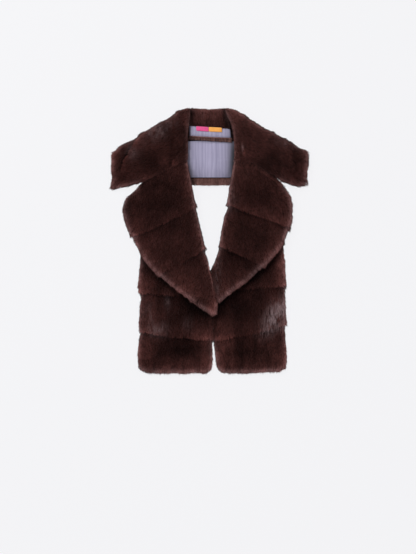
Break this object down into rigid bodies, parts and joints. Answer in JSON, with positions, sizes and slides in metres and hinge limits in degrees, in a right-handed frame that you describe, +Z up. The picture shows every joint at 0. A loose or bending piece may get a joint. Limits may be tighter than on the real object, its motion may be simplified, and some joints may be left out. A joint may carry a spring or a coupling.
{
  "type": "fur collar wrap",
  "caption": "Short sleeveless fur wrap laid flat, with broad lapels, a notched collar turned at the shoulders, straight fronts and a small lined back.",
  "frame": {"origin": "centre of the outline's box, on the surface that the wrap lies on", "axes": "+Z up from the surface, +Y from the hems to the neck, +X towards the wearer's left"},
  "size_m": [0.4778, 0.635, 0.0385],
  "materials": {
    "fur": "dense short dark brown fur with a soft sheen along the nap",
    "fur_band": "narrow ribbed band of sheared brown fur",
    "lining": "smooth lavender lining with fine pinstripes",
    "label_pink": "woven ribbon, bare of lettering",
    "label_orange": "woven ribbon, bare of lettering"
  },
  "bodies": {
    "root": {"right_front": "fur", "left_front": "fur", "right_lapel": "fur", "left_lapel": "fur", "right_collar": "fur", "left_collar": "fur", "collar_back": "fur", "back": "fur", "back_hem": "fur", "neck_band": "fur_band", "back_lining": "lining", "stand_lining": "lining", "label_pink": "label_pink", "label_orange": "label_orange"}
  },
  "joints": []
}
